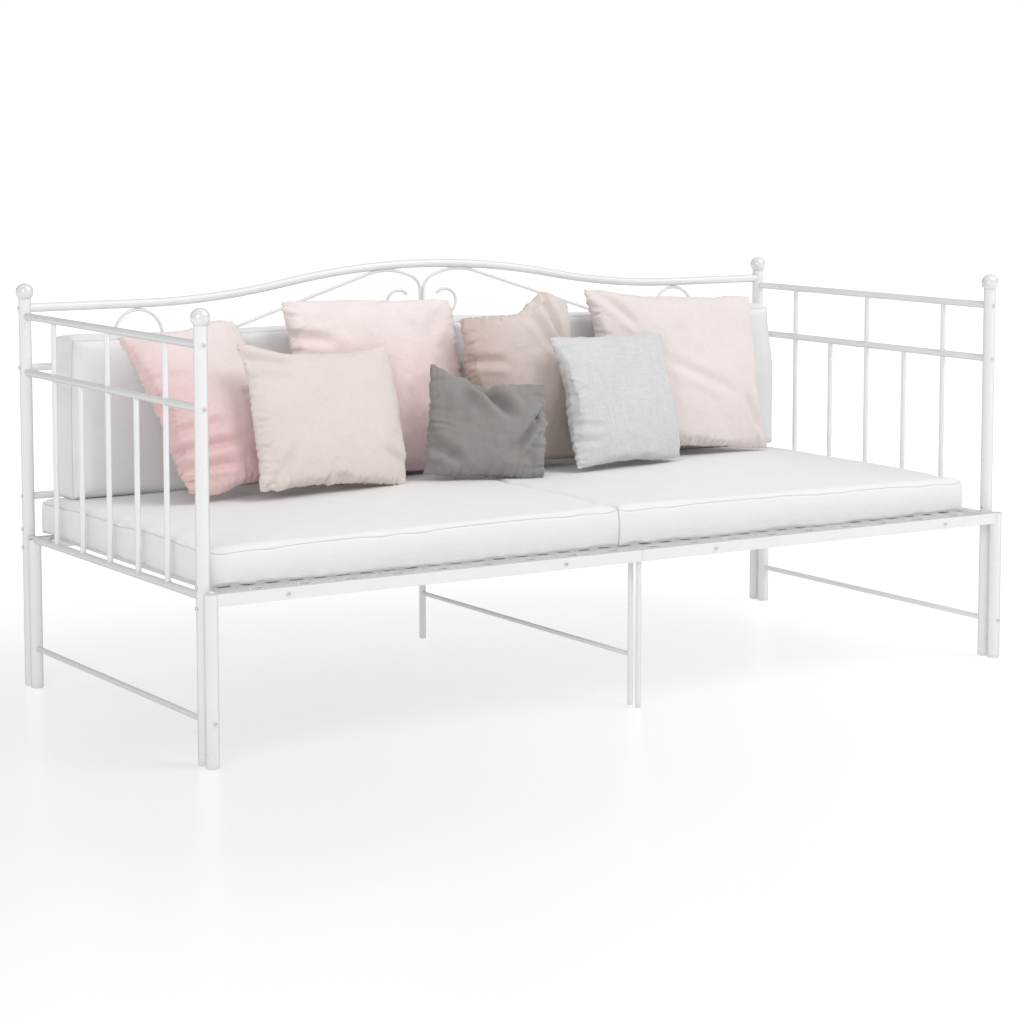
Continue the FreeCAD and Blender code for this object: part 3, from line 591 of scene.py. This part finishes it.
LOOKS = {
    "pillow_rose": {
        "seed": 1, "puckers": (0.0050, 0.0030, 0.0030, 0.0015), "reach": 0.085, "pitch": 0.016,
        "creases": (
            ((-1.0, -0.20), (0.15, -0.26), 0.011, 0.0070),
            ((-1.0, -0.42), (0.25, -0.50), 0.010, 0.0075),
            ((-1.0, -0.62), (0.10, -0.74), 0.010, 0.0080),
            ((-1.0, 0.45), (-0.1, 0.30), 0.012, 0.0040),
            ((1.0, -0.05), (0.2, 0.02), 0.009, 0.0040),
        ),
        "lifts": ((0.95, 0.20, -0.004),),
        "tugs": (((-1, 1), (-0.008, 0.006)), ((-1, -1), (0.010, 0.022)), ((1, 1), (-0.010, -0.018))),
    },
    "pillow_cream": {
        "seed": 2, "puckers": (0.0046, 0.0015, 0.0050, 0.0010), "reach": 0.045, "pull": (-0.045, 0.0),
        "creases": (
            ((-1.0, 0.80), (-0.35, 0.70), 0.010, 0.0060),
            ((-0.9, -1.0), (-0.55, -0.3), 0.012, 0.0050),
            ((-0.2, -1.0), (-0.1, -0.55), 0.010, 0.0035),
            ((0.95, -0.7), (0.5, -0.45), 0.012, 0.0040),
        ),
        "tugs": (((-1, 1), (-0.026, 0.012)), ((1, 1), (0.002, 0.006)), ((-1, -1), (-0.014, 0.0))),
    },
    "pillow_pale_pink": {
        "seed": 3, "puckers": (0.0055, 0.0020, 0.0020, 0.0008), "reach": 0.060, "pitch": 0.017,
        "pull": (-0.020, -0.080), "flare": (0.006, 0.038),
        "creases": (
            ((-1.0, 0.62), (-0.45, 0.50), 0.012, 0.0060),
            ((-1.0, 0.30), (-0.5, 0.25), 0.012, 0.0050),
            ((0.9, 0.9), (0.45, 0.45), 0.014, 0.0015),
        ),
        "tugs": (((-1, 1), (-0.012, 0.008)), ((1, 1), (0.006, 0.004))),
    },
    "pillow_grey": {
        "seed": 4, "puckers": (0.0045, 0.0040, 0.0034, 0.0022), "reach": 0.070, "pitch": 0.022,
        "rumple": 0.0060, "pull": (0.0, 0.0),
        "creases": (
            ((-0.15, 1.0), (0.50, 0.15), 0.015, 0.0150),
            ((-0.20, 0.95), (-0.55, 0.10), 0.014, 0.0060),
            ((0.95, 0.40), (0.35, -0.65), 0.012, 0.0130),
            ((0.95, 0.05), (0.55, -0.75), 0.010, 0.0090),
            ((-0.95, -0.30), (-0.30, -0.75), 0.014, 0.0090),
        ),
        "tugs": (((-1, 1), (0.002, 0.010)), ((-1, -1), (-0.010, 0.0))),
        "lifts": ((0.05, 0.30, -0.010), (-0.95, 0.45, 0.022)),
    },
    "pillow_sand": {
        "seed": 5, "puckers": (0.0050, 0.0020, 0.0025, 0.0045), "reach": 0.055, "pitch": 0.016,
        "pull": (0.0, 0.0),
        "creases": (
            ((-1.0, 0.45), (-0.25, 0.35), 0.012, 0.0060),
            ((0.35, 0.98), (0.75, 0.35), 0.010, 0.0065),
            ((0.15, 0.85), (0.55, 0.25), 0.010, 0.0050),
        ),
        "lifts": ((0.54, 0.32, 0.046), (-0.45, 0.35, 0.004)),
    },
    "pillow_grey_linen": {
        "seed": 6, "puckers": (0.0046, 0.0015, 0.0015, 0.0010), "reach": 0.045, "pull": (0.010, -0.070),
        "creases": (
            ((-1.0, -0.32), (-0.45, -0.42), 0.008, 0.0032),
            ((-1.0, -0.58), (-0.60, -0.62), 0.008, 0.0036),
            ((-1.0, 0.12), (-0.6, 0.20), 0.009, 0.0026),
        ),
        "tugs": (((-1, 1), (-0.018, 0.008)), ((1, 1), (0.002, 0.010)), ((1, -1), (-0.006, 0.008))),
    },
    "pillow_blush": {
        "seed": 7, "puckers": (0.0050, 0.0012, 0.0055, 0.0008), "reach": 0.050, "pitch": 0.016,
        "pull": (0.0, -0.020),
        "creases": (
            ((-0.2, 0.1), (0.75, -0.35), 0.014, 0.0040),
            ((0.75, -0.35), (0.95, -0.85), 0.012, 0.0060),
            ((-0.9, 0.95), (-0.45, 0.45), 0.012, 0.0045),
        ),
        "tugs": (((-1, 1), (-0.020, 0.008)), ((1, -1), (0.016, 0.0))),
    },
}


TUG_SPREAD = 0.28
LIFT_FROM = -0.1            # where up the pillow a lift of its top edge begins
RUMPLES = (0.05, 0.022)     # sizes of a pillow's large and small lumps


def dress_pillow(piece, width, height, look):
    """Puckers, creases and an uneven top edge, on the finished pillow."""
    subdivide(piece)
    u, v, side = (mark_of(piece, label) for label in ("across", "up", "side"))
    points = points_of(piece)
    normals = normals_of(piece)
    large, small = ((points[:, 0] / size, points[:, 2] / size) for size in RUMPLES)
    rumple = grain(*large, side + look["seed"]) + 0.5 * grain(*small, side - look["seed"])
    out = look["rumple"] * rumple + puckers(u, v, side, width, height, look)
    for start, end, wide, deep in look["creases"]:
        out -= (side < 0.5) * crease(u, v, width, height, start, end, wide, deep)
    points += normals * out[:, None]
    upper = towards_rim(v, LIFT_FROM) ** 2
    for place, wide, up in look["lifts"]:
        points[:, 2] += up * np.exp(-((u - place) / wide) ** 2) * upper
    for corner, shift in look["tugs"]:
        near = np.exp(-((u - corner[0]) ** 2 + (v - corner[1]) ** 2) / TUG_SPREAD ** 2)
        points[:, 0] += shift[0] * near
        points[:, 2] += shift[1] * near
    move_points(piece, points)


def start_pillows():
    """The pillows' patterns, before their cloth settles."""
    started = []
    for node, own in LOOKS.items():
        look = {**PLAIN, **own}
        place, width, height, thick = pillow_axes(node)
        piece = envelope(node + "_cover", width, height, thick * PILLOW_START, look)
        add_cloth(piece, PILLOW_PRESSURE, PILLOW_EXCESS)
        started.append((node, look, place, width, height, piece))
    return started


def finish_pillow(node, look, place, width, height, piece):
    """The settled pillow with its dressing, in its place."""
    dress_pillow(piece, width, height, look)
    piece.matrix_world = place
    finish_soft(piece, node)


def finish_soft(piece, node):
    """Cover and body of a soft piece that stands for a CAD node, whose CAD solid it hides."""
    paint(piece, SLOT_OF[node])
    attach(piece, FIXED)
    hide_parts(node)


# Boxed cushions

CUSHION_CELL = 0.020
EDGE_LINES = (0.0, 0.004, 0.009, 0.016, 0.026)      # where the cells near an edge begin
CUSHION_PRESSURE = 1.0
CUSHION_EXCESS = 0.004      # how much larger the cloth is than the pattern
CUSHION_TRAVEL = (0.0, 0.004, 0.006)
WELT_RADIUS = 0.0013


def grid_lines(low, high, cell):
    """Places between two ends, closer together near the ends."""
    near = [low + step for step in EDGE_LINES]
    far = [high - step for step in EDGE_LINES][::-1]
    count = max(2, round((far[0] - near[-1]) / cell))
    between = [near[-1] + (far[0] - near[-1]) * step / count for step in range(1, count)]
    return near + between + far


def boxed(name, low, high, radius):
    """Closed box with rounded edges, made of a grid of points on each side.

    With it come the number of each point by its place in the grid, and the grid's last places.
    """
    lines = [grid_lines(low[axis], high[axis], CUSHION_CELL) for axis in range(3)]
    last = [len(places) - 1 for places in lines]
    inner_low = [value + radius for value in low]
    inner_high = [value - radius for value in high]
    mesh = bmesh.new()
    found = {}

    def vertex(index):
        if index not in found:
            point = Vector([lines[axis][index[axis]] for axis in range(3)])
            inner = Vector([min(max(point[a], inner_low[a]), inner_high[a]) for a in range(3)])
            off = point - inner
            found[index] = mesh.verts.new(inner + off.normalized() * min(radius, off.length))
        return found[index]

    for axis in range(3):
        first, second = (axis + 1) % 3, (axis + 2) % 3
        for end in (0, last[axis]):
            for i in range(last[first]):
                for k in range(last[second]):
                    square = []
                    for step_i, step_k in ((0, 0), (1, 0), (1, 1), (0, 1)):
                        index = [0, 0, 0]
                        index[axis] = end
                        index[first] = i + step_i
                        index[second] = k + step_k
                        square.append(vertex(tuple(index)))
                    mesh.faces.new(square if end else square[::-1])
    mesh.verts.index_update()
    numbers = {index: point.index for index, point in found.items()}
    return new_piece(name, mesh), numbers, last


def rim(numbers, last, axis, end):
    """Points, in order, round one face of a boxed cushion."""
    first, second = (axis + 1) % 3, (axis + 2) % 3
    corners = [(0, 0), (last[first], 0), (last[first], last[second]), (0, last[second]), (0, 0)]
    ring = []
    for here, there in zip(corners, corners[1:]):
        count = max(abs(there[0] - here[0]), abs(there[1] - here[1]))
        for step in range(count):
            index = [0, 0, 0]
            index[axis] = end
            index[first] = here[0] + (there[0] - here[0]) * step // count
            index[second] = here[1] + (there[1] - here[1]) * step // count
            ring.append(numbers[tuple(index)])
    return ring


def welt(name, points):
    """Thin sewn cord along a cushion's rim, in a greyer cover that is painted shade along the seam."""
    data = bpy.data.curves.new(name, "CURVE")
    data.dimensions = "3D"
    data.bevel_depth = WELT_RADIUS
    data.bevel_resolution = 2
    data.resolution_u = 2
    spline = data.splines.new("NURBS")
    spline.points.add(len(points) - 1)
    for place, point in zip(spline.points, points):
        place.co = (*point, 1.0)
    spline.use_cyclic_u = True
    spline.order_u = 3
    piece = bpy.data.objects.new(name, data)
    bpy.context.scene.collection.objects.link(piece)
    paint(piece, "welt")
    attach(piece, FIXED)


# CAD node, the axis that its sewn faces look along, radius of its edges, how far its top sinks
# towards the arm, how far its middle rises, how far its left and right ends lean in at the top
BOXED = (
    ("seat_cushion_left", 2, 0.003, 0.010, 0.004, (0.0, 0.0)),
    ("seat_cushion_right", 2, 0.003, 0.010, 0.004, (0.0, 0.0)),
    ("back_cushion_left", 1, 0.010, 0.004, 0.002, (0.004, 0.0)),
    ("back_cushion_right", 1, 0.010, 0.004, 0.002, (0.0, 0.020)),
)
INSET = 0.002               # inside the CAD box at front, back and top, before a cushion swells
END_INSET = 0.0003
UNDER_INSET = 0.0005
END_TAUT = (0.2, 1.0, 1.0)  # a cushion's ends are tauter than its other sides
GROOVE = (0.0, 0.0030, 0.0022)      # how deep the seams pull in along X, Y and Z
LUMPS = ((0.0016, (0.16, 0.16, 0.10)), (0.0004, (0.030, 0.030, 0.050)))     # height and size
BELLY = 0.006               # how far a seat's front and back stand out between their seams
BELLY_BELOW = 0.4           # the lower seam's share of that
BELLY_FROM = 0.9            # places from a cushion's middle, where its side is at 1
SINK = 0.008                # how far a back cushion presses into the seat
SINK_FROM = 0.7
LEAN_FROM = 0.8


def start_cushions():
    """The boxed cushions before their cloth settles."""
    started = []
    for node, axis, radius, hang, rise, lean in BOXED:
        low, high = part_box(node)
        low += Vector((END_INSET, INSET, UNDER_INSET))
        high -= Vector((END_INSET, INSET, INSET))
        middle = (low + high) / 2
        piece, numbers, last = boxed(node + "_cover", low - middle, high - middle, radius)
        add_cloth(piece, CUSHION_PRESSURE, CUSHION_EXCESS)
        started.append((node, axis, middle, (hang, rise, lean), (high - low) / 2, piece, numbers, last))
    return started


def finish_cushion(node, axis, middle, shape, half, piece, numbers, last):
    """The settled cushion with its seams, lumps and leaning ends, and its welts."""
    hang, rise, lean = shape
    rings = [rim(numbers, last, axis, end) for end in (0, last[axis])]
    points = points_of(piece)
    seams = sorted(set(rings[0] + rings[1]))
    points[seams] -= normals_of(piece)[seams] * GROOVE
    move_points(piece, points)
    subdivide(piece)
    points = points_of(piece)
    normals = normals_of(piece)
    lumps = sum(height * grain(*(points / np.array(size)).T) for height, size in LUMPS)
    points += normals * lumps[:, None] * END_TAUT
    deep = np.clip(np.abs(points[:, 1] / half.y), 0.0, 1.0)
    level = np.clip(points[:, 2] / half.z, -1.0, 1.0)
    if axis == 2:
        edge = np.where(level > 0, 1.0, BELLY_BELOW) * level ** 2
        points[:, 1] -= np.sign(points[:, 1]) * BELLY * edge * towards_rim(deep, BELLY_FROM)
    share = smooth_step((level + 1) / 2)
    outwards = (1 + math.copysign(1, middle.x) * points[:, 0] / half.x) / 2
    points[:, 2] += share * (rise * (1 - deep ** 4) - hang * outwards)
    upper = smooth_step(level)
    for side, inward in zip((-1, 1), lean):
        points[:, 0] -= side * inward * upper * towards_rim(side * points[:, 0] / half.x, LEAN_FROM)
    if axis == 2:
        points[:, 2] = np.maximum(points[:, 2], -half.z)
    else:
        points[:, 2] -= SINK * towards_rim(-level, SINK_FROM)
    move_points(piece, points)
    piece.matrix_world = Matrix.Translation(middle)
    finish_soft(piece, node)
    for number, ring in enumerate(rings):
        path = [Vector(points[index]) + middle for index in ring]
        welt(f"{node}_welt_{number + 1}", path)


# The object

for node, thing in frame["nodes"].items():
    paint(thing, SLOT_OF[node])

pillows = start_pillows()
cushions = start_cushions()
loose = [(piece, PILLOW_TRAVEL) for *_, piece in pillows]
loose += [(piece, CUSHION_TRAVEL) for *_, piece, _, _ in cushions]
settle(loose)
for item in pillows:
    finish_pillow(*item)
for item in cushions:
    finish_cushion(*item)


# Floor, light and camera

FLOOR_SIZE = 40.0
FLOOR_GREY = 0.38
FLOOR_SHADOW_MIDDLE = (-1.1, -0.7, 0.0)        # middle of the floor's painted shadow, where its glow is weakest
FLOOR_GLOW_WITH_PAINTED_SHADOW = (0.3, 5.0, 0.49, 0.88)     # near and far from there, and how bright the floor is; the weaker glow near there paints a shadow
ROOM_LIGHT = (-0.1, 0.9, 0.43, 0.91)    # low and high in the room, and how bright the room is

# Name, place, size, power
LAMPS = (
    ("key", (2.8, -3.0, 5.2), 3.6, 157.0),
    ("fill", (-4.2, -3.2, 2.6), 2.4, 62.0),
)

LENS = 95.35
SENSOR = 36.0
SHIFT_Y = -0.12
EYE = (-3.3136, -5.1923, 1.2826)
LOOK_DOWN = 5.835           # degrees below level
LOOK_RIGHT = 32.292         # degrees from +Y towards +X


def ramp(nodes, links, value, span):
    """Value moved from its range in span to the new range there."""
    node = nodes.new("ShaderNodeMapRange")
    links.new(value, node.inputs["Value"])
    for socket, number in zip(node.inputs[1:5], span):
        socket.default_value = number
    return node.outputs[0]


def plain_floor():
    """Large pale floor that glows, weaker near the bed as a painted shadow, and brightens into the
    white room.
    """
    mesh = bmesh.new()
    bmesh.ops.create_grid(mesh, x_segments=1, y_segments=1, size=FLOOR_SIZE)
    floor = new_piece("floor", mesh)
    material = bpy.data.materials.new("floor")
    material.use_nodes = True
    nodes, links = material.node_tree.nodes, material.node_tree.links
    shader = nodes["Principled BSDF"]
    shader.inputs["Base Color"].default_value = (FLOOR_GREY, FLOOR_GREY, FLOOR_GREY, 1.0)
    shader.inputs["Roughness"].default_value = 0.28
    shader.inputs["Specular IOR Level"].default_value = 0.35
    shader.inputs["Emission Color"].default_value = (1.0, 1.0, 1.0, 1.0)
    place = nodes.new("ShaderNodeTexCoord")
    away = nodes.new("ShaderNodeVectorMath")
    away.operation = "DISTANCE"
    away.inputs[1].default_value = FLOOR_SHADOW_MIDDLE
    links.new(place.outputs["Object"], away.inputs[0])
    # painted shadow: the floor glows less near the bed
    glow_and_painted_shadow = ramp(nodes, links, away.outputs["Value"], FLOOR_GLOW_WITH_PAINTED_SHADOW)
    links.new(glow_and_painted_shadow, shader.inputs["Emission Strength"])
    floor.data.materials.append(material)


def studio():
    """Room that lights more from above than from beside and is seen as plain white, and the lamps."""
    world = bpy.data.worlds.new("studio")
    bpy.context.scene.world = world
    world.use_nodes = True
    nodes, links = world.node_tree.nodes, world.node_tree.links
    seen = nodes["Background"]
    seen.inputs["Color"].default_value = (1.0, 1.0, 1.0, 1.0)
    seen.inputs["Strength"].default_value = 1.0
    light = nodes.new("ShaderNodeBackground")
    where = nodes.new("ShaderNodeTexCoord")
    parts = nodes.new("ShaderNodeSeparateXYZ")
    links.new(where.outputs["Generated"], parts.inputs[0])
    links.new(ramp(nodes, links, parts.outputs[2], ROOM_LIGHT), light.inputs["Strength"])
    path = nodes.new("ShaderNodeLightPath")
    mix = nodes.new("ShaderNodeMixShader")
    links.new(path.outputs["Is Camera Ray"], mix.inputs[0])
    links.new(light.outputs[0], mix.inputs[1])
    links.new(seen.outputs[0], mix.inputs[2])
    links.new(mix.outputs[0], nodes["World Output"].inputs["Surface"])
    for row in LAMPS:
        lamp(*row)


def lamp(name, place, size, power):
    """Square soft lamp that faces the middle of the bed."""
    data = bpy.data.lights.new(name, "AREA")
    data.size = size
    data.energy = power
    thing = bpy.data.objects.new(name, data)
    bpy.context.scene.collection.objects.link(thing)
    thing.location = place
    aim = (CAD_BOX[0] + CAD_BOX[1]) / 2 - Vector(place)
    thing.rotation_euler = aim.to_track_quat("-Z", "Y").to_euler()


def camera():
    """Long lens, in front of the bed and to its left, a little above it."""
    data = bpy.data.cameras.new("camera")
    data.lens = LENS
    data.sensor_width = SENSOR
    data.shift_y = SHIFT_Y
    data.clip_end = 200.0
    thing = bpy.data.objects.new("camera", data)
    bpy.context.scene.collection.objects.link(thing)
    thing.location = EYE
    thing.rotation_euler = (math.radians(90 - LOOK_DOWN), 0.0, math.radians(-LOOK_RIGHT))
    bpy.context.scene.camera = thing


plain_floor()
studio()
camera()
bpy.context.scene.view_settings.view_transform = "Standard"
